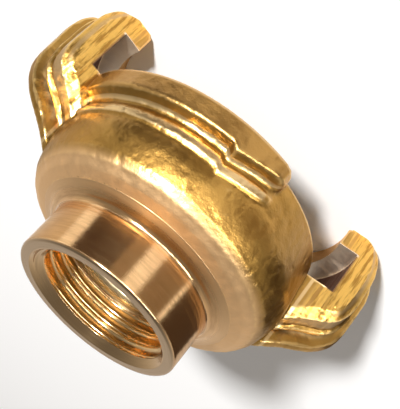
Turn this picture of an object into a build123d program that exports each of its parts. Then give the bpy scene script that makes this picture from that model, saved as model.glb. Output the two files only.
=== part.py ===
"""Half of a quarter-turn hose coupling: a forged brass body with two hooked
claws, two ramped cam wings and a threaded nozzle, and the rubber ring that
seals its face.

The axis is Z. The coupling stands on its claws with the nozzle up, so z = 0
is the flat front of the claws. Sizes are in millimetres.
"""
import os
from math import cos, radians, sin

from build123d import *

# ---- heights along the axis -------------------------------------------------
total_length = 32.9         # claw fronts to nozzle mouth
face_z = 10.4               # coupling face, the front of the cam wings
lip_thickness = 3.2         # claw lip, which hooks behind the other half's wing

# ---- cam wings, and the fit of the claws around the other half's wings -------
wing_d = 43.4               # over the two cam wings
wing_step = 1.9             # a wing stands this far out from its neck
lip_clearance = 0.5         # radial play between a lip and the neck it passes
wing_clearance = 1.55       # radial play between a wing and the pocket wall
wing_r = wing_d / 2
neck_r = wing_r - wing_step
lip_r = neck_r + lip_clearance
pocket_r = wing_r + wing_clearance

lock_thickness = 3.3        # wing where the claws come to rest
crest_thickness = 4.0       # top of the ramp, which the claws snap over
tip_thickness = 2.15        # free end of the ramp, where the claws enter
lock_angle = 96.6           # angles are from the middle of the claw before
crest_angle = 94.0
tip_angle = 75.0
round_angle = 79.0          # from here the free end is rounded off in plan
end_angle = 70.5
end_round = 2.6             # how far the rounding comes inward
collar_step = 0.35          # forged collar behind the wing, above the neck
collar_length = 3.7

# ---- claws ------------------------------------------------------------------
claw_half_angle = 17.5      # a claw spans twice this about the axis
wall_thickness = 2.85       # pocket wall at the claw's side faces
bevel_rise, bevel_angle = 0.65, 15.8    # forged bevel along each side face
web_rise, web_angle = 1.15, 15.0        # flat of the back
rib_rise, rib_outer_angle, rib_inner_angle = 0.5, 7.3, 6.0
groove_depth, groove_angle = 0.35, 3.3  # rough groove between rib and rim
rim_rise, rim_half_angle = 1.75, 2.6    # middle rim
rim_crown = 0.35            # the rim is this much higher along its middle
draft_angle = 0.6           # turn taken up by each sloping flank of a rib
back_r = pocket_r + wall_thickness

# ---- nozzle and thread ------------------------------------------------------
nozzle_d = 25.0
nozzle_length = 7.7
nozzle_chamfer = 0.35
base_fillet = 0.6
thread_major_d = 20.955     # G 1/2 parallel thread, at the roots
thread_depth = 6.0
countersink = 0.375         # 45 degree countersink outside the thread roots
relief_depth = 0.25         # run-out groove below the thread
relief_length = 1.0
passage_d = 17.4

# ---- seal and its seat ------------------------------------------------------
seal_outer_d = 33.6
seal_inner_d = 24.0
seal_depth = 4.4            # height of the ring's foot in its groove
seal_lip_outer_d = 29.8
seal_stand_out = 1.9        # lip above the coupling face before coupling
retainer = 1.8              # brass collar that holds the foot in its groove
seat_step = 1.2             # the throat above the ring starts this far outside it

# ---- heights and radii that follow ------------------------------------------
base_z = total_length - nozzle_length           # foot of the nozzle
nozzle_r = nozzle_d / 2
thread_r = thread_major_d / 2
drum_r = neck_r + 0.1
groove_z = face_z + retainer                    # bottom and top of the seal's
seat_z = groove_z + seal_depth                  # groove
thread_end_z = total_length - thread_depth
runout_z = thread_end_z - relief_length
edge_z = base_z - 3.1                           # edge where shoulder meets drum
belly_z = (edge_z + face_z + 2.3) / 2           # below this the drum is a cone
drum_taper = (-0.65, face_z - belly_z)


def radial(angle):
    """Plane through the axis: x runs outward at this angle, y runs up."""
    a = radians(angle)
    return Plane(origin=(0, 0, 0), x_dir=(cos(a), sin(a), 0), z_dir=(sin(a), -cos(a), 0))


def claw_section(angle, rise):
    """Side view of the forged claw blank at one angle. The back is one smooth
    curve from root to nose; rise lifts it off the line of the side faces."""
    with BuildSketch(radial(angle)) as section:
        with BuildLine():
            back = Spline(
                (neck_r - 2.4, face_z + 7.3 + 1.5 * rise),
                (neck_r, face_z + 5.7 + 1.5 * rise),
                (pocket_r - 0.7, face_z + 3.5 + 1.5 * rise),
                (back_r - 0.75 + 0.55 * rise, face_z + 1.95 + 0.95 * rise),
                (back_r - 0.15 + 0.92 * rise, face_z + 0.3 + 0.55 * rise),
                (back_r + rise, face_z - 2.4),
                (back_r - 0.35 + 1.1 * rise, lip_thickness + 0.4),
                (back_r - 1.55 + 1.3 * rise, 0.9 + 0.3 * rise),
                (back_r - 3.3 + 0.5 * rise, 0.0),
                tangents=((1, -0.6), (-1, 0)),
            )
            Polyline(
                back @ 1,
                (lip_r + 0.5, 0.0),
                (lip_r - 0.5, 1.0),
                (neck_r - 2.4, face_z),
                back @ 0,
            )
        make_face()
    return section.sketch


def wing_section(angle, thickness, cut_back=0.0):
    """Section of a cam wing with the neck and collar behind it. cut_back takes
    the section inward, which rounds the wing off at its free end."""
    rear = face_z + thickness
    reach = wing_r - cut_back
    neck = neck_r - 0.3 * cut_back
    with BuildSketch(radial(angle)) as section:
        with BuildLine():
            Polyline(
                (neck_r - 2.8, face_z),
                (reach - 0.12, face_z),
                (reach, face_z + 0.12),
                (reach, rear - 0.3),
                (reach - 0.25, rear),
                (neck + 0.25 * (reach - neck), rear + 0.5),
                (neck + 0.1, rear + 1.0),
                (neck + 0.1, rear + 1.5),
                (neck + collar_step, rear + 1.9),
                (neck + collar_step, rear + collar_length - 0.8),
                (neck - 0.2, rear + collar_length),
                (neck_r - 2.8, rear + collar_length),
                close=True,
            )
        make_face()
    return section.sketch


# ---- one claw: a forged blank, then the turned pocket ------------------------
half_relief = [
    (claw_half_angle, 0.0),
    (bevel_angle, bevel_rise),
    (web_angle, web_rise),
    (rib_outer_angle + draft_angle, web_rise),
    (rib_outer_angle, web_rise + rib_rise),
    (rib_inner_angle, web_rise + rib_rise),
    (rib_inner_angle - draft_angle, web_rise - groove_depth),
    (groove_angle, web_rise - groove_depth),
    (rim_half_angle, web_rise + rim_rise),
]
relief = [(-angle, rise) for angle, rise in half_relief]
relief += [(0.0, web_rise + rim_rise + rim_crown)]
relief += [(angle, rise) for angle, rise in reversed(half_relief)]

with BuildPart() as claw:
    loft([claw_section(angle, rise) for angle, rise in relief], ruled=True)
    with BuildSketch(Plane.XZ):
        with BuildLine():
            Polyline(
                (neck_r - 6, -1),
                (lip_r, -1),
                (lip_r, lip_thickness),
                (pocket_r, lip_thickness),
                (pocket_r, face_z),
                (neck_r - 6, face_z),
                close=True,
            )
        make_face()
    revolve(axis=Axis.Z, mode=Mode.SUBTRACT)

# ---- one cam wing: the locked length, then the ramp down to its free end -----
ramp = [wing_section(lock_angle, lock_thickness)]
ramp_steps = 9
for step in range(ramp_steps + 1):
    angle = crest_angle + (end_angle - crest_angle) * step / ramp_steps
    fall = (crest_angle - angle) / (crest_angle - tip_angle)
    thickness = crest_thickness + fall * (tip_thickness - crest_thickness)
    past_round = max(0.0, round_angle - angle) / (round_angle - end_angle)
    ramp.append(wing_section(angle, thickness, end_round * past_round**2.2))

with BuildPart() as wing:
    lock_arc = 180 - claw_half_angle + 6 - lock_angle
    revolve(wing_section(lock_angle, lock_thickness), axis=Axis.Z, revolution_arc=lock_arc)
    loft(ramp, ruled=True)

with BuildPart() as coupling_body:
    # Outside: nozzle, shoulder and forged drum, with its claws and wings.
    with BuildSketch(Plane.XZ):
        with BuildLine():
            Polyline(
                (0, face_z),
                (0, total_length),
                (nozzle_r - nozzle_chamfer, total_length),
                (nozzle_r, total_length - nozzle_chamfer),
                (nozzle_r, base_z + base_fillet),
                (nozzle_r + 0.3 * base_fillet, base_z + 0.3 * base_fillet),
                (nozzle_r + base_fillet, base_z),
                (drum_r - 3.0, base_z - 1.3),
                (drum_r - 1.7, base_z - 2.1),
                (drum_r - 1.0, edge_z),
            )
            Spline(
                (drum_r - 1.0, edge_z),
                (drum_r - 0.1, belly_z),
                tangents=((0.38, -1), drum_taper),
            )
            Polyline((drum_r - 0.1, belly_z), (drum_r - 0.75, face_z), (0, face_z))
        make_face()
    revolve(axis=Axis.Z)
    for turn in (0, 180):
        add(claw.part.rotate(Axis.Z, turn))
        add(wing.part.rotate(Axis.Z, turn))

    # Inside: countersink, thread bore, run-out, passage, throat, seal groove.
    with BuildSketch(Plane.XZ):
        with BuildLine():
            Polyline(
                (0, total_length + 1),
                (thread_r + countersink, total_length + 1),
                (thread_r + countersink, total_length),
                (thread_r, total_length - countersink),
                (thread_r, thread_end_z + relief_depth),
                (thread_r + relief_depth, thread_end_z),
                (thread_r + relief_depth, runout_z + relief_depth),
                (passage_d / 2, runout_z),
                (passage_d / 2, seat_z + 0.7 * (runout_z - seat_z)),
                (seal_inner_d / 2 + seat_step, seat_z),
                (seal_outer_d / 2, seat_z),
                (seal_outer_d / 2, groove_z),
                (seal_lip_outer_d / 2, groove_z),
                (seal_lip_outer_d / 2, face_z - 1),
                (0, face_z - 1),
                close=True,
            )
        make_face()
    revolve(axis=Axis.Z, mode=Mode.SUBTRACT)

coupling_body.part.label = "coupling_body"

# ---- seal ring: a foot in the groove and a lip that stands proud -------------
seal_lip_width = (seal_lip_outer_d - seal_inner_d) / 2
with BuildPart() as seal_ring:
    with BuildSketch(Plane.XZ):
        with BuildLine():
            Polyline(
                (seal_outer_d / 2, groove_z),
                (seal_outer_d / 2, seat_z),
                (seal_inner_d / 2, seat_z),
                (seal_inner_d / 2, face_z - 0.25 * seal_stand_out),
                (seal_inner_d / 2 + 0.3 * seal_lip_width, face_z - seal_stand_out),
                (seal_lip_outer_d / 2 - 0.25 * seal_lip_width, face_z - seal_stand_out),
                (seal_lip_outer_d / 2, face_z - 0.6 * seal_stand_out),
                (seal_lip_outer_d / 2, groove_z),
                close=True,
            )
        make_face()
    revolve(axis=Axis.Z)

seal_ring.part.label = "seal_ring"

os.makedirs("parts", exist_ok=True)
export_step(coupling_body.part, "parts/coupling_body.step")
export_step(seal_ring.part, "parts/seal_ring.step")
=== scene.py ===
# %% [markdown]
# # A quarter-turn hose coupling in forged brass
#
# The real object is half of a claw coupling. A brass blank is forged hot, which
# leaves a soft skin with small dents, and a lathe then cuts the nozzle, its
# thread and the pockets of the claws, which stay crisp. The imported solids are
# loaded first. They fix where everything is: the axis of the coupling is Z, the
# claws stand on z = 0, and the nozzle points up. Sizes below are millimetres,
# and a mesh or a material turns them into metres.

import bmesh
import bpy
import numpy as np
from mathutils import Matrix, Vector


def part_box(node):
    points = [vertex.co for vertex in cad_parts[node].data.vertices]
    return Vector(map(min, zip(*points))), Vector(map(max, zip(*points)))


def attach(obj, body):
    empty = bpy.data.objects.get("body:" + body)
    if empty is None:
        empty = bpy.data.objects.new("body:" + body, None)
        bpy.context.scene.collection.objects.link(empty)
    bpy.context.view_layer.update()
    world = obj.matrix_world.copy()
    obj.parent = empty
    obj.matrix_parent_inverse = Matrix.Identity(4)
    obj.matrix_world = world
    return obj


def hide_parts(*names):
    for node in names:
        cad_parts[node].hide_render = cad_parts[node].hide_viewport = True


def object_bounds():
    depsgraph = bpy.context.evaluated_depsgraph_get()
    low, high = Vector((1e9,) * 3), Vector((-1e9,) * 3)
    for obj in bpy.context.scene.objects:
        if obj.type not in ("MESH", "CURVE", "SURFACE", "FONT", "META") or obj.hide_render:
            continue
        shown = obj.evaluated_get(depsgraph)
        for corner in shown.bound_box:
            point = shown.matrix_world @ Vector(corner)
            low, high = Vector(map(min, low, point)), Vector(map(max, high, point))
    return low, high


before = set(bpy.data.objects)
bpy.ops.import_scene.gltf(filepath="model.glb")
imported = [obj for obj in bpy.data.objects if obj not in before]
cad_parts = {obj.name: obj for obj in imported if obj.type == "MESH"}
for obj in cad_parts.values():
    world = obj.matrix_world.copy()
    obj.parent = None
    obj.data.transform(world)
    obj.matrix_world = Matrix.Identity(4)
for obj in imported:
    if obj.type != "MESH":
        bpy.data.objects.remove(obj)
cad_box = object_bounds()
MM = 0.001                                  # the scene is in metres
TOP = cad_box[1][2] / MM                    # height of the nozzle's mouth
print("coupling spans", [round((high - low) / MM, 1) for low, high in zip(*cad_box)], "mm")

# %% [markdown]
# ## The camera
#
# The coupling is looked at from above its nozzle, at 30 degrees, and the camera
# is rolled so that the nozzle points down and to the left. A camera looks along
# its own -Z. Its axes can be given as three vectors, or worked out from a place,
# a target and a roll, which is easier to read and to change. It stands close,
# so it must not clip what is nearer than the usual 10 cm.

# %% Camera
def look_from(place, target, roll, lens):
    """A camera at place looking at target, turned by roll about its line of
    sight. With roll 0 the world's Z is upward in the picture."""
    back = (Vector(place) - Vector(target)).normalized()
    level = Vector((0, 0, 1)).cross(back).normalized()
    steep = back.cross(level)
    right = level * np.cos(roll) + steep * np.sin(roll)
    up = back.cross(right)
    camera = bpy.data.cameras.new("camera")
    camera.lens, camera.sensor_width, camera.sensor_fit = lens, 36.0, "HORIZONTAL"
    camera.clip_start = 0.005
    obj = bpy.data.objects.new("camera", camera)
    axes = Matrix((right, up, back)).transposed().to_4x4()
    obj.matrix_world = Matrix.Translation(place) @ axes
    bpy.context.scene.collection.objects.link(obj)
    bpy.context.scene.camera = obj
    return right, up, back


AIM = (-0.00115, -0.00235, 0.01209)
EYE = (0.008129, -0.106328, 0.071774)
RIGHT, UP, BACK = look_from(EYE, AIM, np.radians(-139.165), 78.438)
print("camera axes", [[round(v, 4) for v in axis] for axis in (RIGHT, UP, BACK)])

# %% [markdown]
# ## Helpers: a mesh from a grid
#
# Every new piece here is a grid of points, worked out as whole arrays, with
# quads between them. A loop over points would also do, but is slow and hides
# the formula. Merging doubles closes a seam, and the faces are then turned
# outward, which the order of a grid alone doesn't promise.

# %% Grid mesh
def mesh_object(name, points, faces):
    """A smooth object with its points in mm and its faces as rows of indices."""
    mesh = bpy.data.meshes.new(name)
    mesh.from_pydata(points * MM, [], faces)
    mesh.polygons.foreach_set("use_smooth", np.ones(len(mesh.polygons), bool))
    obj = bpy.data.objects.new(name, mesh)
    bpy.context.scene.collection.objects.link(obj)
    return obj


def merge(obj, distance):
    """Merge doubles, drop what has no area and point the faces outward."""
    bm = bmesh.new()
    bm.from_mesh(obj.data)
    bmesh.ops.remove_doubles(bm, verts=bm.verts, dist=distance)
    bmesh.ops.dissolve_degenerate(bm, edges=bm.edges, dist=distance)
    bmesh.ops.recalc_face_normals(bm, faces=bm.faces)
    bm.to_mesh(obj.data)
    bm.free()


# %% [markdown]
# ## Helpers: smooth noise
#
# A forging has slow waves and small dents. Value noise gives both: random
# numbers on a lattice, blended smoothly between its points. A texture node
# could add it in the material alone, but then the outline would stay smooth.
# The seed is fixed, so each run is the same.

# %% Value noise
LATTICE = np.random.default_rng(11).uniform(-1, 1, (32, 32, 32))


def noise(p, size, shift=0.0):
    """Value noise at points p (mm), from -1 to 1. One lattice cell is size mm
    long, as one number or one for each axis. Weights are 3t^2 - 2t^3."""
    q = np.asarray(p) / size + shift
    cell = np.floor(q).astype(int)
    t = q - cell
    t = t * t * (3 - 2 * t)
    total = 0.0
    for corner in np.ndindex(2, 2, 2):
        weight = np.prod(np.where(corner, t, 1 - t), axis=-1)
        i, j, k = ((cell + corner) % 32).T
        total = total + weight * LATTICE[i, j, k]
    return total


def smoothstep(x, start, end):
    """0 before start, 1 after end, and 3t^2 - 2t^3 between."""
    t = np.clip((x - start) / (end - start), 0, 1)
    return t * t * (3 - 2 * t)


print("noise lattice", LATTICE.shape, "mean", round(float(LATTICE.mean()), 4))

# %% [markdown]
# ## The thread
#
# A pipe screws into the nozzle. The nozzle is turned on a lathe, so it could be
# a plain surface of revolution, but its thread is not one: the height changes
# as it goes round. A Screw modifier could wind a ridge, but would leave it
# apart from the wall. Here the radius is a function of angle and height: a wave
# of the height, which climbs by one pitch in each turn.

# %% Sizes of the nozzle and the wave of its thread
PITCH = 1.814                     # a 1/2 inch pipe thread, 14 turns to the inch
ROOT, CREST = 10.4775, 9.3155     # radii at its roots and crests
FIRST_CREST = 1.375               # depth of the crest below the mouth at angle 0
THREAD_DEPTH = 6.0
COUNTERSINK = 0.375               # 45 degrees, outside the roots
BORE_END = TOP - THREAD_DEPTH - 0.9
PASSAGE_R = 8.7                   # the plain passage below the thread
NOZZLE_R, NOZZLE_LENGTH = 12.5, 7.7
MOUTH_EDGE = 0.35                 # rounding round the mouth
MOUTH_IN = 10.95                  # inner edge of the mouth's flat
BASE_FILLET = 0.8
SKIRT_R = 15.3                    # the piece ends here, in the shoulder's slope
NOZZLE_FOOT = 22.45               # and stands this deep in the forging


def thread_radius(angle, z):
    """Radius of the bore. A rounded 55 degree wave in the height, climbing one
    pitch a turn to the right, runs out at the foot of the thread, and a 45
    degree countersink cuts it off at the mouth."""
    turn = (TOP - FIRST_CREST - z) / PITCH + angle / (2 * np.pi)
    wave = 2 * np.abs(2 * (turn - np.floor(turn)) - 1) - 1
    wave = np.tanh(1.7 * wave) / np.tanh(1.7)
    r = (ROOT + CREST) / 2 - wave * (ROOT - CREST) / 2
    below = smoothstep(-z, 0.1 - TOP + THREAD_DEPTH, 0.8 - TOP + THREAD_DEPTH)
    r = r + (ROOT + 0.2 - r) * below
    return np.maximum(r, ROOT + COUNTERSINK - (TOP - z))


print("thread ridges", round(ROOT - CREST, 3), "mm high,", round(THREAD_DEPTH / PITCH, 1), "turns")

# %% [markdown]
# ## Profiles of the nozzle
#
# A lathe tool follows a profile, and so does this: corners of (r, z), with rows
# put between them so that the quads stay about square. A Bevel modifier could
# round the corners, but the few that show are quicker to write as points.

# %% Profiles
def cornered(points, step=0.5):
    """Rows along a profile of (r, z) corners, at most step apart."""
    points = np.asarray(points, float)
    parts = [points[:1]]
    for a, b in zip(points[:-1], points[1:]):
        n = max(1, int(np.ceil(np.hypot(*(b - a)) / step)))
        parts.append(a + (b - a) * np.linspace(0, 1, n + 1)[1:, None])
    return np.concatenate(parts)


def outer_profile():
    """From the hidden foot, up the shoulder's slope, round the fillet, which is
    a quarter circle, and up the wall to the mouth."""
    base = TOP - NOZZLE_LENGTH
    hidden = cornered([(PASSAGE_R + 0.08, NOZZLE_FOOT), (SKIRT_R - 0.4, NOZZLE_FOOT),
                       (SKIRT_R, NOZZLE_FOOT + 1.65), (SKIRT_R, base - 0.73)])
    slope = cornered([(15.2, base - 0.69), (14.2, base - 0.34), (13.5, base - 0.07)], 0.25)
    turn = np.linspace(0, np.pi / 2, 7)
    fillet = np.stack([NOZZLE_R + BASE_FILLET * (1 - np.sin(turn)),
                       base + BASE_FILLET * (1 - np.cos(turn))], -1)
    wall = cornered([(NOZZLE_R, base + 1.0), (NOZZLE_R, TOP - MOUTH_EDGE), (NOZZLE_R - 0.04, TOP - 0.2),
                     (NOZZLE_R - 0.2, TOP - 0.04), (NOZZLE_R - MOUTH_EDGE, TOP), (MOUTH_IN, TOP)], 0.3)
    return np.concatenate([hidden, slope, fillet, wall])


def inner_profile():
    """From the end of the thread down the passage to the hidden foot."""
    return cornered([(9.4, BORE_END - 0.35), (PASSAGE_R + 0.05, BORE_END - 0.9),
                     (PASSAGE_R, BORE_END - 1.6), (PASSAGE_R + 0.02, NOZZLE_FOOT + 0.4)], 0.35)


print("nozzle profile", len(outer_profile()), "rows outside,", len(inner_profile()), "inside")

# %% [markdown]
# ## The turned nozzle
#
# Profile, thread and passage are joined as one closed grid, rows against angle.
# Level rows would cross the slanting crests and leave them jagged, so the rows
# of the thread climb with it by one pitch in each turn. At the seam each of
# them therefore meets not itself but the row that lies one pitch higher.

# %% Turned nozzle
AROUND = 288
ROWS_PER_TURN = 24


def thread_rows(angle):
    """Radius and height of the thread's rows. A row has the height start +
    pitch * angle / 2 pi, held between the ends of the bore."""
    step = PITCH / ROWS_PER_TURN
    count = int((TOP - BORE_END) / step) + 2 * ROWS_PER_TURN
    start = TOP + step * ROWS_PER_TURN - np.arange(count) * step
    z = np.clip(start[:, None] - PITCH + PITCH * angle / (2 * np.pi), BORE_END, TOP)
    return thread_radius(angle, z), z


def across_seam(row, column, first, last):
    """The row that a row meets in the next column: itself, or at the last
    column, for the thread's rows first to last, the row one turn back."""
    back = np.where(column == AROUND - 1, ROWS_PER_TURN, 0)
    in_thread = (row >= first) & (row < last)
    return np.where(in_thread, np.clip(row - back, first, last - 1), row)


def turned_nozzle():
    """Outer profile, thread and passage as one closed surface, made rough by
    noise just below the thread, where the forging's own bore begins."""
    angle = np.arange(AROUND) * 2 * np.pi / AROUND
    outside, inside = outer_profile(), inner_profile()
    thread_r, thread_z = thread_rows(angle)
    r = np.concatenate([outside[:, :1] + 0 * angle, thread_r, inside[:, :1] + 0 * angle])
    z = np.concatenate([outside[:, 1:] + 0 * angle, thread_z, inside[:, 1:] + 0 * angle])
    first, last = len(outside), len(outside) + len(thread_r)

    points = np.stack([r * np.cos(angle), r * np.sin(angle), z], -1)
    rough = smoothstep(-z, 0.3 - BORE_END, 1.2 - BORE_END) * smoothstep(z, NOZZLE_FOOT, NOZZLE_FOOT + 0.5)
    rough[:first] = 0
    push = rough * 0.1 * noise(points.reshape(-1, 3), 0.7).reshape(r.shape)
    points[..., 0] += push * np.cos(angle)
    points[..., 1] += push * np.sin(angle)

    row, column = np.meshgrid(np.arange(len(r)), np.arange(AROUND), indexing="ij")
    up, over = (row + 1) % len(r), (column + 1) % AROUND
    faces = np.stack([
        row * AROUND + column,
        across_seam(row, column, first, last) * AROUND + over,
        across_seam(up, column, first, last) * AROUND + over,
        up * AROUND + column,
    ], -1)
    obj = mesh_object("turned_nozzle", points.reshape(-1, 3), faces.reshape(-1, 4))
    merge(obj, 2e-7)
    return obj


nozzle = turned_nozzle()
print("turned nozzle", len(nozzle.data.polygons), "faces")

# %% [markdown]
# ## The forged body
#
# The solid has the right shape, but its edges are sharp and its skin is plain.
# A real forging has soft edges, shallow waves, dents and, on the sides of the
# claws, streaks that the die drew along them. So the solid's mesh is copied,
# the part that the lathe turned is cut off, a Remesh modifier gives it an even
# net of small faces, and numpy then moves its points. A Displace modifier
# couldn't tell the forged skin from the faces that a cutter made.

# %% Copy the solid and cut the nozzle off it
DRILL_R = 15.1                              # just inside the nozzle's skirt


def solid_copy(node, name):
    """A copy of a CAD node's mesh with its doubles merged."""
    obj = bpy.data.objects.new(name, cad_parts[node].data.copy())
    bpy.context.scene.collection.objects.link(obj)
    merge(obj, 1e-7)
    return obj


def cylinder(name, radius, foot, length, around):
    """Two rings of points on the Z axis, with quads between them and one
    many-sided face at each end."""
    turn = np.arange(around) * 2 * np.pi / around
    low = np.stack([radius * np.cos(turn), radius * np.sin(turn), 0 * turn + foot], -1)
    here = np.arange(around)
    after = (here + 1) % around
    sides = np.stack([here, after, after + around, here + around], -1).tolist()
    ends = [here[::-1].tolist(), (here + around).tolist()]
    return mesh_object(name, np.concatenate([low, low + (0, 0, length)]), sides + ends)


def apply_modifiers(obj):
    """Put the result of an object's modifiers into its mesh."""
    graph = bpy.context.evaluated_depsgraph_get()
    mesh = bpy.data.meshes.new_from_object(obj.evaluated_get(graph))
    obj.modifiers.clear()
    obj.data = mesh
    mesh.name = obj.name


body = solid_copy("coupling_body", "forged_body")
drill = cylinder("drill", DRILL_R, NOZZLE_FOOT + 0.1, 20, 180)
cut = body.modifiers.new("cut", "BOOLEAN")
cut.operation, cut.solver, cut.object = "DIFFERENCE", "EXACT", drill
net = body.modifiers.new("net", "REMESH")
net.mode = "SHARP"
net.octree_depth = 8
net.scale = 0.77
net.sharpness = 1.0
apply_modifiers(body)
bpy.data.objects.remove(drill)
merge(body, 1e-7)
print("forged body", len(body.data.polygons), "faces")

# %% [markdown]
# ## Where the cutter went and where the skin is forged
#
# The lathe cut the claws' pockets, the coupling face, the bore and the slope
# beside the nozzle. Vertex groups could be painted for them by hand. Here each
# region is a rule on the radius, the height and the angle from the middle of
# the nearest claw. The rules give a number from 0 to 1 at each point, and both
# the shape and the finish use it.

# %% Regions of the body
FACE, LIP = 10.4, 3.2             # heights of the coupling face and of a claw's lip
LIP_R, POCKET_R = 20.3, 23.25     # radii of the lip's inside and the pocket's wall
SHOULDER = 25.2                   # height at the nozzle's foot
CLAW_HALF = 17.5                  # half the angle that a claw takes, in degrees
CONE_R, CONE_END = 13.1, 16.3     # radii where the slope beside the nozzle starts and fades
CONE_SLOPE = 1.3 / 3.8


def band(x, centre, half, soft=0.06):
    """1 where x is within half of centre, falling to 0 over soft."""
    return 1 - smoothstep(np.abs(x - centre), half, half + soft)


def coordinates(mesh):
    """Points (mm), radius, angle from the nearest claw (degrees), height."""
    p = np.empty(3 * len(mesh.vertices))
    mesh.vertices.foreach_get("co", p)
    p = p.reshape(-1, 3) / MM
    r = np.hypot(p[:, 0], p[:, 1])
    angle = np.degrees(np.arctan2(p[:, 1], p[:, 0]))
    return p, r, (angle + 90) % 180 - 90, p[:, 2]


p, r, from_claw, z = coordinates(body.data)
on_claw = (np.abs(from_claw) < CLAW_HALF + 1.1) & (r > 19.6)
pocket = on_claw * np.maximum.reduce([
    band(r, POCKET_R, 0.12) * (z > LIP - 0.15) * (z < FACE + 0.15),
    band(z, LIP, 0.12) * (r < POCKET_R + 0.15),
    band(r, LIP_R, 0.12) * (z < LIP + 0.15),
    band(z, FACE, 0.12) * (r < POCKET_R + 0.15),
])
face = band(z, FACE, 0.1) * ~on_claw
claw_front = band(z, 0.0, 0.06)
inside = ((r < 17.0) & (z < 18.0)) * 1.0
machined = np.maximum.reduce([pocket, face, inside, claw_front * 0.6])

# The slope beside the nozzle is put back on its cone, flush with the skirt.
slope = (r < CONE_END) & (z > 23.8)
z[slope] = SHOULDER - (r[slope] - CONE_R) * CONE_SLOPE
p[slope, 2] = z[slope]
machined = np.maximum(machined, smoothstep(r, CONE_END, CONE_END - 0.4) * (z > 23.8))
print("machined share", round(float(machined.mean()), 3))

# %% [markdown]
# ## Soften the edges
#
# Hot brass doesn't fill a sharp corner of the die, so every forged edge is a
# little round. A Bevel modifier needs clean edges, which a remeshed skin hasn't
# got. Moving each point part of the way to the mean of its neighbours rounds
# the edges, but shrinks the shape. A second move the other way, a little
# larger, gives the volume back. This is Taubin's smoothing, on whole arrays.

# %% Smoothing on arrays
edges = np.empty(2 * len(body.data.edges), int)
body.data.edges.foreach_get("vertices", edges)
a, b = edges.reshape(-1, 2).T
degree = np.bincount(a, minlength=len(p)) + np.bincount(b, minlength=len(p))


def toward_neighbours(v):
    """The step from each point to the mean of the points it shares an edge with."""
    axes = [np.bincount(a, v[b, k], len(v)) + np.bincount(b, v[a, k], len(v)) for k in range(3)]
    return np.stack(axes, -1) / degree[:, None] - v


def soften(v, weight, rounds):
    """In each round a step of 0.55 toward the neighbours and one of 0.57 back."""
    for _ in range(rounds):
        v = v + 0.55 * weight[:, None] * toward_neighbours(v)
        v = v - 0.57 * weight[:, None] * toward_neighbours(v)
    return v


def normals_of(mesh, v):
    """Put the points v (mm) into the mesh and read back its normals."""
    mesh.vertices.foreach_set("co", (v * MM).ravel())
    mesh.update()
    n = np.empty(3 * len(v))
    mesh.vertices.foreach_get("normal", n)
    return n.reshape(-1, 3)


crisp_claws = smoothstep(r, 20.6, 21.8) * (np.abs(from_claw) < CLAW_HALF + 1.5)
v = soften(p, (1 - machined) * (1 - 0.75 * crisp_claws), 6)
normal = normals_of(body.data, v)
print("softened, largest move", round(float(np.abs(v - p).max()), 2), "mm")

# %% [markdown]
# ## Zones of a claw
#
# A claw shows three skins. Its side faces are streaked, its back has a plain
# web, and the groove beside its middle rim is coarse. Painting them would have
# to be done again after each change of shape. The normal tells a side face from
# the back, because only a side face looks round the axis.

# %% Zones of a claw
radial = np.stack([v[:, 0], v[:, 1], 0 * z], -1) / r[:, None]
tangent = np.stack([-radial[:, 1], radial[:, 0], 0 * z], -1)
forged = (1 - machined) * (1 - smoothstep(z, 23.2, 24.2))
off_middle = np.abs(from_claw)
claw_zone = smoothstep(r, 20.6, 21.6) * (off_middle < CLAW_HALF + 1.5)
side = smoothstep(np.abs((normal * tangent).sum(-1)), 0.55, 0.85) * claw_zone * (off_middle > 14.5)
web = claw_zone * smoothstep(off_middle, 8.0, 9.0) * (1 - side)
groove = claw_zone * band(off_middle, 4.4, 1.1, 0.5) * (z > 0.8) * (1 - side)
polar = np.stack([r, np.radians(from_claw) * r, z], -1)
print("side, web and groove shares", [round(float(zone.mean()), 3) for zone in (side, web, groove)])

# %% [markdown]
# ## Dents, streaks and folds
#
# Slow waves and small dents come from the noise, pushed along the normal. The
# streaks on the side of a claw use noise whose cells are long in the height.
# Near the elbows, where metal curled over in the die, lie folds: arcs round a
# point that fade with distance. Sculpting would give the same, but by hand.

# %% Displace the forged skin
def fold(centre, wave, reach, bearing):
    """Arcs round (r, z), open to one side: a cosine of the distance that fades
    with its square, kept where the bearing from the centre is within 90 degrees."""
    out, up = r - centre[0], z - centre[1]
    d = np.hypot(out, up)
    bend = 0.3 * noise(polar, 1.3, 5.0)
    facing = (out * np.cos(bearing) + up * np.sin(bearing)) / np.maximum(d, 0.05)
    fade = np.exp(-(d / reach) ** 2) * smoothstep(facing, -0.1, 0.6)
    return np.cos(2 * np.pi * (d + bend) / wave) * fade


STREAKS, WEB_DRAW = np.array([0.45, 3.0, 6.0]), np.array([3.0, 0.6, 2.2])
push = 0.06 * noise(v, 3.4) + 0.035 * noise(v, 1.2, 3.0)
dents = 0.10 * np.minimum(noise(v, 0.8, 7.0) + 0.3, 0)
push = push + dents + 0.012 * noise(v, 0.45, 1.0)
push = push + side * 0.22 * noise(polar, STREAKS, 2.0)
push = push + web * 0.05 * noise(polar, WEB_DRAW, 4.0)
push = push + groove * 0.16 * noise(v, 0.6, 9.0)
push = push + side * 0.12 * (fold((24.6, 11.4), 0.75, 1.5, 0.6) + fold((25.0, 5.0), 0.8, 1.5, 0.3))
push = push + (web + side) * 0.12 * fold((23.8, 13.6), 0.75, 1.5, 0.7)
v = v + (forged * push)[:, None] * normal
box_low, box_high = np.array(cad_box) / MM
v = np.clip(v, box_low + 0.01, box_high - 0.01)
normal = normals_of(body.data, v)
print("forged skin moved by up to", round(float(np.abs(forged * push).max()), 2), "mm")

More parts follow.
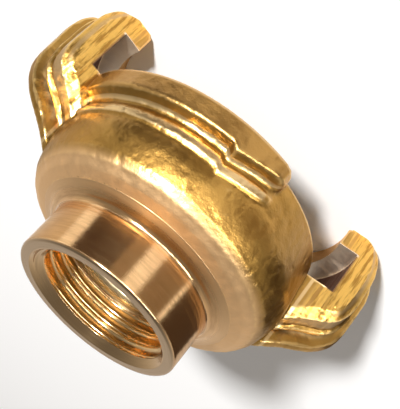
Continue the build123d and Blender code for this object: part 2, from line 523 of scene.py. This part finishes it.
# %% [markdown]
# ## Hand the zones to the finish
#
# A finish has to change exactly where the shape does. Masks could be built
# again from coordinates in the material, but the numbers are here already, so
# they are stored on the mesh as attributes. One more is worked out: how far a
# point lies below its neighbours, which tells hollows from raised edges.

# %% Attributes of the forged body
hollow = (toward_neighbours(soften(v, 0 * z + 1, 4)) * normal).sum(-1)
zones = {"machined": machined, "groove": groove, "side": side, "web": web, "hollow": hollow}
for name, value in zones.items():
    layer = body.data.attributes.new(name, "FLOAT", "POINT")
    layer.data.foreach_set("value", value.astype(np.float32))
body.data.polygons.foreach_set("use_smooth", np.ones(len(body.data.polygons), bool))
body.data.set_sharp_from_angle(angle=0.9)
print("hollow, 1st, 50th and 99th percentile", np.percentile(hollow, [1, 50, 99]).round(4), "mm")

# %% [markdown]
# ## The rubber seal
#
# A ring of rubber sits in a groove of the coupling face, and its soft lip stands
# proud. A torus would be too plain for it. It is a closed profile carried round
# the axis, with rounded corners, and its lip waves a little, as rubber does.

# %% Rubber seal
GROOVE_Z = 12.2                   # where the lip widens into the foot
LIP_IN, LIP_OUT = 12.0, 14.9      # radii of the lip
SEAL_PLAY = 0.02                  # the ring stays this far inside its solid


def rounded(points, radius, steps=5):
    """A closed profile with each corner replaced by a quadratic Bezier curve
    that starts and ends at most radius from it."""
    points = np.asarray(points, float)
    t = np.linspace(0, 1, steps)[:, None]
    rows = []
    for before, corner, after in zip(np.roll(points, 1, 0), points, np.roll(points, -1, 0)):
        into, out = before - corner, after - corner
        start = corner + into * min(0.45, radius / np.hypot(*into))
        end = corner + out * min(0.45, radius / np.hypot(*out))
        rows.append((1 - t) ** 2 * start + 2 * t * (1 - t) * corner + t**2 * end)
    return np.concatenate(rows)


def rubber_ring(name, profile, around):
    """A closed profile of (r, z) carried round the axis. Below z = 10 the
    height gains 0.02 times the sine of seven times the angle."""
    angle = np.arange(around) * 2 * np.pi / around
    r = profile[:, :1] + 0 * angle
    z = profile[:, 1:] + 0 * angle
    z = z + 0.02 * np.sin(7 * angle) * (z < 10)
    points = np.stack([r * np.cos(angle), r * np.sin(angle), z], -1)
    m, n = r.shape
    row, column = np.meshgrid(np.arange(m), np.arange(n), indexing="ij")
    up, over = (row + 1) % m, (column + 1) % n
    faces = np.stack([row * n + column, row * n + over, up * n + over, up * n + column], -1)
    obj = mesh_object(name, points.reshape(-1, 3), faces.reshape(-1, 4))
    merge(obj, 1e-7)
    return obj


seal_low, seal_high = (np.array(corner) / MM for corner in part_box("seal_ring"))
foot_out, seal_front, seal_back = seal_high[0] - SEAL_PLAY, seal_low[2], seal_high[2] - SEAL_PLAY
section = rounded([
    (foot_out, GROOVE_Z + SEAL_PLAY),
    (LIP_OUT - 0.03, GROOVE_Z),
    (LIP_OUT - 0.03, seal_front + 0.75),
    (LIP_OUT - 0.7, seal_front + 0.03),
    (LIP_IN + 0.9, seal_front + 0.03),
    (LIP_IN + SEAL_PLAY, seal_front + 1.4),
    (LIP_IN + SEAL_PLAY, seal_back),
    (foot_out, seal_back),
], 0.5)
seal = rubber_ring("rubber_seal", section, 240)
print("rubber seal", len(seal.data.polygons), "faces")

# %% [markdown]
# ## Helpers for finishes
#
# A finish is a tree of nodes: noise and masks that mix colours, a roughness and
# a bump. Images could do it too, but would need an unwrapped mesh and blur up
# close. Written out in full, a tree is long, so small helpers add a node and
# wire its inputs by name, and everything below is built from them.

# %% Node helpers
def new_material(name):
    material = bpy.data.materials.new(name)
    material.use_nodes = True
    return material, material.node_tree, material.node_tree.nodes["Principled BSDF"]


def put(tree, socket, value):
    """Link a socket into an input, or set the input to a plain value."""
    if isinstance(value, bpy.types.NodeSocket):
        tree.links.new(value, socket)
    else:
        socket.default_value = value


def wire(tree, kind, settings=None, **inputs):
    """Add a node. Each input is a value, or a socket to link from. Underscores
    in an input's name stand for spaces, and i0, i1 pick an input by number."""
    node = tree.nodes.new("ShaderNode" + kind)
    for key, value in (settings or {}).items():
        setattr(node, key, value)
    for key, value in inputs.items():
        name = int(key[1:]) if key[1:].isdigit() else key.replace("_", " ")
        put(tree, node.inputs[name], value)
    return node


def maths(tree, operation, first, second=0.0):
    return wire(tree, "Math", {"operation": operation}, i0=first, i1=second).outputs[0]


def times(tree, first, second):
    return maths(tree, "MULTIPLY", first, second)


def plus(tree, first, second):
    return maths(tree, "ADD", first, second)


def largest(tree, first, *others):
    for other in others:
        first = maths(tree, "MAXIMUM", first, other)
    return first


def blend(tree, factor, first, second):
    """The colour first where factor is 0, and second where it is 1."""
    node = wire(tree, "Mix", {"data_type": "RGBA"}, Factor=factor)
    for socket, value in ((node.inputs[6], first), (node.inputs[7], second)):
        put(tree, socket, value if isinstance(value, bpy.types.NodeSocket) else (*value, 1))
    return node.outputs[2]


def levels(tree, value, low, high, to_low=0.0, to_high=1.0):
    """Stretch low..high to to_low..to_high, smoothly and within those ends."""
    return wire(tree, "MapRange", {"interpolation_type": "SMOOTHSTEP"}, Value=value, From_Min=low,
                From_Max=high, To_Min=to_low, To_Max=to_high).outputs[0]


def grain(tree, vector, scale, detail=3.0, roughness=0.55):
    return wire(tree, "TexNoise", Vector=vector, Scale=scale, Detail=detail, Roughness=roughness).outputs[0]


# %% [markdown]
# ## Helpers for the brass finishes
#
# Both brass finishes ask how far a point is from the axis and how high it is,
# and both end in the same three inputs of the shader. Each of these jobs could
# be written out twice, and is one function instead.

# %% Place and dress
def whereabouts(tree):
    """Object coordinates, their x, y and z, and the distance from the axis."""
    place = wire(tree, "TexCoord").outputs["Object"]
    x, y, z = wire(tree, "SeparateXYZ", Vector=place).outputs
    r = maths(tree, "SQRT", plus(tree, times(tree, x, x), times(tree, y, y)))
    return place, x, y, z, r


def between(tree, value, low_start, low_end, high_start, high_end):
    """1 between two sizes in mm, with a soft start and a soft end."""
    rising = levels(tree, value, low_start * MM, low_end * MM)
    return times(tree, rising, levels(tree, value, high_end * MM, high_start * MM))


def paint(tree, colour, coats):
    """Blend shades over a colour, one after the other, each through its mask."""
    for mask, shade in coats:
        colour = blend(tree, mask, colour, shade)
    return colour


def dress(tree, shader, colour, roughness, height, strength, depth):
    """Give the shader a colour, a roughness and a bump of some depth in mm."""
    bump = wire(tree, "Bump", Strength=strength, Distance=depth * MM, Height=height)
    for name, socket in (("Base Color", colour), ("Roughness", roughness), ("Normal", bump.outputs[0])):
        tree.links.new(socket, shader.inputs[name])


# %% [markdown]
# ## Turned brass
#
# The lathe leaves fine rings round the axis. The metal has a few brown stains.
# Its mouth is painted darker brown, a painted reflection, and its thread is
# bright outside and painted darker olive deep inside, which is painted shade.
# The rings are noise that changes fast with radius and height and hardly at all
# round the axis. A wave texture would give rings too, but all alike.

# %% Turned brass, colour
TURNED, TURNED_STAIN, RING_LINE = (0.86, 0.55, 0.27), (0.74, 0.45, 0.22), (0.56, 0.34, 0.15)
# The mouth's darker brown is a painted reflection; the olive deep in the bore is painted shade.
MOUTH_DARK_REFLECTION, CHAMFER_BROWN = (0.50, 0.36, 0.22), (0.56, 0.38, 0.20)
BORE_GOLD, DEEP_SHADE_OLIVE, SHOULDER_TAN = (0.84, 0.60, 0.30), (0.42, 0.36, 0.24), (0.78, 0.51, 0.26)
turned, tree, shader = new_material("turned_brass")
place, x, y, z, r = whereabouts(tree)
along = wire(tree, "CombineXYZ", X=times(tree, r, 60.0), Y=times(tree, z, 60.0),
             Z=times(tree, maths(tree, "ARCTAN2", y, x), 0.05)).outputs[0]
rings = grain(tree, along, 62.0, 3.0, 0.7)
coarse = grain(tree, along, 20.0, 2.0, 0.5)
stain = grain(tree, place, 160.0, 3.0, 0.6)
# Painted reflection: the flat of the mouth is painted darker brown.
mouth = levels(tree, z, (TOP - 0.3) * MM, (TOP - 0.1) * MM)
in_bore = levels(tree, r, 10.7 * MM, 10.5 * MM)
# Painted shade: deeper in the bore the thread turns darker olive.
deep = times(tree, levels(tree, z, (TOP - 9.0) * MM, (TOP - 5.5) * MM, 1.0, 0.0),
             levels(tree, r, 11.2 * MM, 10.8 * MM))
chamfer = times(tree, levels(tree, r, 11.0 * MM, 10.9 * MM),
                levels(tree, z, (TOP - 1.5) * MM, (TOP - 1.2) * MM))
# Toward the edge of the turned zone the skin is that of the forging again.
skirt = times(tree, levels(tree, r, 13.4 * MM, 14.8 * MM), levels(tree, z, 26.2 * MM, 25.6 * MM))
colour = blend(tree, levels(tree, stain, 0.35, 0.7), TURNED, TURNED_STAIN)
colour = paint(tree, colour, (
    (levels(tree, rings, 0.35, 0.65, 0.0, 0.55), RING_LINE),
    (mouth, MOUTH_DARK_REFLECTION),
    (in_bore, BORE_GOLD),
    (deep, DEEP_SHADE_OLIVE),
    (chamfer, CHAMFER_BROWN),
    (skirt, SHOULDER_TAN),
))
print("turned brass, colour from", len(tree.nodes), "nodes")

# %% [markdown]
# ## The shine of turned brass
#
# A shine on turned metal is drawn out across its grooves. Modelled grooves
# would need a very fine mesh, so the shader's anisotropy does it, with its
# tangent round the axis. Its amount is one number, and only the roughness and
# the bump follow the rings.

# %% Turned brass, shine
gloss = levels(tree, plus(tree, rings, times(tree, deep, 0.6)), 0.2, 1.4, 0.14, 0.38)
gloss = plus(tree, gloss, times(tree, skirt, 0.22))
marks = plus(tree, times(tree, rings, 0.5), coarse)
dress(tree, shader, colour, gloss, marks, 0.5, 0.08)
round_axis = wire(tree, "Tangent", {"direction_type": "RADIAL", "axis": "Z"}).outputs[0]
tree.links.new(round_axis, shader.inputs["Tangent"])
shader.inputs["Metallic"].default_value = 1.0
shader.inputs["Anisotropic"].default_value = 0.5
shader.inputs["Anisotropic Rotation"].default_value = 0.25
nozzle.data.materials.append(turned)
print(turned.name, "on", nozzle.name, "from", len(tree.nodes), "nodes")

# %% [markdown]
# ## Forged brass
#
# The forged skin is a deep gold with darker spots, and tan on the shoulder and
# on the backs of the claws. Hollows are darker, and raised edges are lighter,
# partly as wear and partly as a painted highlight. The attributes stored with
# the mesh say which is which, so no mask has to be painted by hand.

# %% Forged brass, colour of the skin
GOLD, OLD_GOLD, SPOTS = (0.51, 0.285, 0.070), (0.35, 0.195, 0.045), (0.34, 0.20, 0.05)
# Hollows get a darker colour; raised edges get a lighter one, partly wear and partly painted highlight.
WEB_TAN, HOLLOW_DARK, WEAR_AND_HIGHLIGHT = (0.52, 0.38, 0.21), (0.26, 0.15, 0.04), (0.92, 0.66, 0.28)
forged_brass, tree, shader = new_material("forged_brass")
place, x, y, z, r = whereabouts(tree)
cutter, in_groove, on_side, on_web, lowness = (
    wire(tree, "Attribute", {"attribute_name": name}).outputs["Fac"]
    for name in ("machined", "groove", "side", "web", "hollow"))
fine = grain(tree, place, 2600.0, 3.0, 0.6)
middle = grain(tree, place, 700.0, 4.0, 0.6)
broad = grain(tree, place, 110.0, 3.0, 0.5)
shoulder = levels(tree, z, 21.8 * MM, 23.6 * MM)
back = times(tree, on_web, 0.8)
colour = blend(tree, levels(tree, broad, 0.35, 0.68), GOLD, OLD_GOLD)
colour = paint(tree, colour, (
    (levels(tree, middle, 0.5, 0.75, 0.0, 0.5), SPOTS),
    (shoulder, SHOULDER_TAN),
    (back, WEB_TAN),
    # darker in hollows; lighter on raised edges, partly wear, partly painted highlight
    (levels(tree, lowness, 0.006, 0.04, 0.0, 0.7), HOLLOW_DARK),
    (levels(tree, lowness, -0.004, -0.03, 0.0, 0.5), WEAR_AND_HIGHLIGHT),
))
print("forged brass, skin from", len(tree.nodes), "nodes")

# %% [markdown]
# ## Sides, collar, wing and groove
#
# The die drew dark streaks down the yellow side faces of the claws. The collar
# behind a wing is lighter tan, the wing itself is browner, and the grooves are
# dark olive. Each could be a material of its own with a hard border. As coats
# over one another, found by radius and by the stored zones, they fade softly.

# %% Forged brass, colour of the parts
SIDE_YELLOW, STREAK_BROWN = (0.80, 0.49, 0.12), (0.30, 0.15, 0.03)
COLLAR_TAN, WING_BROWN, GROOVE_OLIVE = (0.84, 0.62, 0.32), (0.46, 0.26, 0.08), (0.22, 0.18, 0.11)
drawn = wire(tree, "CombineXYZ", X=times(tree, r, 1900.0), Y=times(tree, z, 190.0)).outputs[0]
streaks = levels(tree, grain(tree, drawn, 1.0, 3.0, 0.6), 0.46, 0.62, 0.0, 0.85)
on_collar = between(tree, r, 19.95, 20.1, 20.4, 20.6)
on_wing = between(tree, r, 21.3, 21.6, 21.8, 22.1)
colour = paint(tree, colour, (
    (times(tree, on_side, 0.8), SIDE_YELLOW),
    (times(tree, streaks, on_side), STREAK_BROWN),
    (times(tree, on_collar, 0.7), COLLAR_TAN),
    (times(tree, on_wing, 0.75), WING_BROWN),
    (times(tree, in_groove, 0.95), GROOVE_OLIVE),
))
print("forged brass, parts from", len(tree.nodes), "nodes")

# %% [markdown]
# ## Cut faces and shine of the body
#
# The faces that the cutter left are plain: pale on a claw's lip and clean brass
# on the rest, while the wall of its pocket is painted dark brown, as painted
# shade. A second material on those faces would have a border along the edges of
# the mesh, so this one mixes them by height and radius. Cut, grooved and tan skin
# is duller than the gold.

# %% Forged brass, cut faces and shine
# The pocket wall's dark brown is painted shade.
CLEAN_CUT, POCKET_SHADE_BROWN = (0.78, 0.56, 0.30), (0.13, 0.06, 0.04)
LIP_INSIDE, LIP_PALE = (0.58, 0.32, 0.11), (0.84, 0.72, 0.58)
# Painted shade: the wall of the pocket is dark brown.
wall = blend(tree, levels(tree, r, 22.2 * MM, 22.6 * MM), CLEAN_CUT, POCKET_SHADE_BROWN)
lip = blend(tree, levels(tree, z, 3.08 * MM, 3.16 * MM), LIP_INSIDE, LIP_PALE)
cut_colour = blend(tree, levels(tree, z, 3.35 * MM, 3.6 * MM), lip, wall)
below_shoulder = levels(tree, z, 22.5 * MM, 22.2 * MM)
colour = paint(tree, colour, ((times(tree, cutter, below_shoulder), cut_colour),))
skin = levels(tree, plus(tree, middle, times(tree, in_groove, 0.4)), 0.3, 1.0, 0.30, 0.46)
skin = plus(tree, skin, times(tree, largest(tree, cutter, in_groove, shoulder, back), 0.18))
pits = plus(tree, times(tree, fine, 0.35), middle)
dress(tree, shader, colour, skin, pits, 0.55, 0.14)
shader.inputs["Metallic"].default_value = 1.0
body.data.materials.clear()
body.data.materials.append(forged_brass)
body.data.polygons.foreach_set("material_index", np.zeros(len(body.data.polygons), np.int32))
print(forged_brass.name, "on", body.name, "from", len(tree.nodes), "nodes")

# %% [markdown]
# ## Rubber
#
# Black rubber is not quite black. It has a dull shine, a fine grain from its
# mould, and a grey bloom where it has aged. One plain colour would look like
# paint, so one slow noise mixes both colour and dullness.

# %% Rubber finish
BLACK, BLOOM = (0.018, 0.018, 0.019), (0.05, 0.05, 0.052)
rubber, tree, shader = new_material("rubber")
place = wire(tree, "TexCoord").outputs["Object"]
age = grain(tree, place, 300.0, 4.0, 0.6)
colour = blend(tree, levels(tree, age, 0.45, 0.75), BLACK, BLOOM)
dress(tree, shader, colour, levels(tree, age, 0.3, 0.7, 0.5, 0.75), grain(tree, place, 3000.0), 0.3, 0.1)
seal.data.materials.append(rubber)
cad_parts["coupling_body"].data.materials[0] = forged_brass
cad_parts["seal_ring"].data.materials[0] = rubber
print(rubber.name, "on", seal.name, "and both finishes on the packed solids")

# %% [markdown]
# ## Floor
#
# The coupling stands on plain white paper that keeps its soft shadow. Lit like
# everything else, white paper would come out grey, or need so much light that
# the brass burns out. So the paper is white to the camera and to reflections,
# and darker to the light that it throws back on the coupling.

# %% Floor
FLOOR_HALF = 1500.0
PAPER_WHITE, PAPER_BOUNCE = (0.95, 0.95, 0.95), (0.45, 0.42, 0.38)


def flat(name, corners, material):
    """A flat staged piece from four corners in mm."""
    obj = mesh_object(name, np.array(corners, float), [[0, 1, 2, 3]])
    obj.data.materials.append(material)
    return obj


paper, tree, shader = new_material("paper")
rays = wire(tree, "LightPath").outputs
seen = largest(tree, rays["Is Camera Ray"], rays["Is Glossy Ray"], rays["Is Transmission Ray"])
tree.links.new(blend(tree, seen, PAPER_BOUNCE, PAPER_WHITE), shader.inputs["Base Color"])
shader.inputs["Roughness"].default_value = 0.9
shader.inputs["Specular IOR Level"].default_value = 0.0
around_origin = np.array([(-1, -1, 0), (1, -1, 0), (1, 1, 0), (-1, 1, 0)])
floor = flat("floor", FLOOR_HALF * around_origin, paper)
print(floor.name, 2 * FLOOR_HALF * MM, "m wide")

# %% [markdown]
# ## Cards
#
# Polished metal shows the room more than itself, so the room matters most. Dark
# cards are laid beside brass or silver to give it dark bands, and cream ones to
# warm it. Real cards would show, and would shade the floor. These are seen by
# reflections alone, so they throw no shadow and stay out of the picture.

# %% Cards that reflections see
CARD_REACH = 400.0                # all of them end this far from the axis


def matt(name, first, second):
    """A dull material whose colour wanders between two shades."""
    material, tree, shader = new_material(name)
    place = wire(tree, "TexCoord").outputs["Object"]
    tree.links.new(blend(tree, grain(tree, place, 90.0), first, second), shader.inputs["Base Color"])
    shader.inputs["Roughness"].default_value = 1.0
    shader.inputs["Specular IOR Level"].default_value = 0.0
    return material


def card(name, bearing, near, half_width, level, shade):
    """A card that widens from near (mm) to its end along a bearing in degrees
    from +X, level mm above the floor, that only glossy rays see."""
    b = np.radians(bearing)
    out, over = np.array([np.cos(b), np.sin(b), 0]), np.array([-np.sin(b), np.cos(b), 0])
    reach = ((near, -half_width), (CARD_REACH, -half_width), (CARD_REACH, half_width), (near, half_width))
    obj = flat(name, [out * d + over * w * d / CARD_REACH + (0, 0, level) for d, w in reach], shade)
    for ray in ("camera", "diffuse", "transmission", "volume_scatter", "shadow"):
        setattr(obj, "visible_" + ray, False)


felt = matt("felt", (0.045, 0.03, 0.022), (0.08, 0.055, 0.04))
kraft = matt("kraft", (0.18, 0.14, 0.10), (0.26, 0.20, 0.14))
cream = matt("cream", (0.56, 0.50, 0.42), (0.66, 0.58, 0.48))
card("card_left", -43, 36, 195, 0.9, felt)
card("card_right", 178, 36, 260, 0.8, felt)
card("card_front_right", -125, 36, 132, 0.6, kraft)
card("card_front_left", -77, 36, 72, 0.7, kraft)
card("card_behind_left", 33, 40, 240, 0.5, cream)
card("card_behind_right", 115, 40, 300, 0.4, cream)

# %% [markdown]
# ## The room's light
#
# A plain world would light the brass from all sides alike and leave it flat.
# This room is brightest low down and behind the coupling, and darker overhead
# and on the side of the camera. Only the camera sees plain white in its place.

# %% World
ROOM_LOW, ROOM_HIGH, ROOM_FRONT = (0.76, 0.71, 0.65), (0.20, 0.19, 0.18), (0.24, 0.22, 0.20)
world = bpy.data.worlds.new("studio")
bpy.context.scene.world = world
world.use_nodes = True
tree = world.node_tree
direction = wire(tree, "TexCoord").outputs["Generated"]
depth, height = wire(tree, "SeparateXYZ", Vector=direction).outputs[1:]
room = blend(tree, levels(tree, height, 0.1, 0.95), ROOM_LOW, ROOM_HIGH)
room = blend(tree, levels(tree, depth, 0.2, -0.4), room, ROOM_FRONT)
sky = blend(tree, wire(tree, "LightPath").outputs["Is Camera Ray"], room, (1.0, 1.0, 1.0))
background = tree.nodes["Background"]
tree.links.new(sky, background.inputs["Color"])
background.inputs["Strength"].default_value = 1.0
print("world", world.name, "from", len(tree.nodes), "nodes")

# %% [markdown]
# ## Lamps
#
# The main lamp is a soft box close to the line of sight, a little above and to
# the left of it, which throws a soft shadow down and to the right. One lamp
# can't also draw the long shine on the shoulder's edge, so a low strip does
# that. The strip is hidden from the camera and doesn't light matt surfaces.

# %% Lamps
def softbox(name, direction, distance, size, power):
    """A square area lamp at a distance (m) along a direction from the coupling,
    facing it."""
    lamp = bpy.data.lights.new(name, "AREA")
    lamp.size, lamp.energy = size, power
    obj = bpy.data.objects.new(name, lamp)
    bpy.context.scene.collection.objects.link(obj)
    way = Vector(direction).normalized()
    obj.location = Vector(AIM) + way * distance
    obj.rotation_euler = way.to_track_quat("Z", "Y").to_euler()
    return obj


softbox("key", BACK + 0.26 * UP - 0.32 * RIGHT, 1.2, 0.14, 27.0)
strip = softbox("strip", (-0.27, -0.86, 0.43), 0.5, 0.76, 2.9)
strip.data.shape, strip.data.size_y = "RECTANGLE", 0.05
strip.visible_camera = strip.visible_diffuse = False

# %% [markdown]
# ## Ride and replace
#
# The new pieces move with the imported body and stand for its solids, which stay
# hidden behind them for collision. Parenting them by hand would lose that link.

# %% Ride and replace
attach(body, "root")
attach(nozzle, "root")
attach(seal, "root")
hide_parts("coupling_body")
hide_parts("coupling_body")
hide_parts("seal_ring")
print("riding on root:", body.name, nozzle.name, seal.name)

# %% [markdown]
# ## Finish
#
# The plain Standard view keeps colours as they were mixed.

# %% Finish
bpy.context.scene.view_settings.view_transform = "Standard"
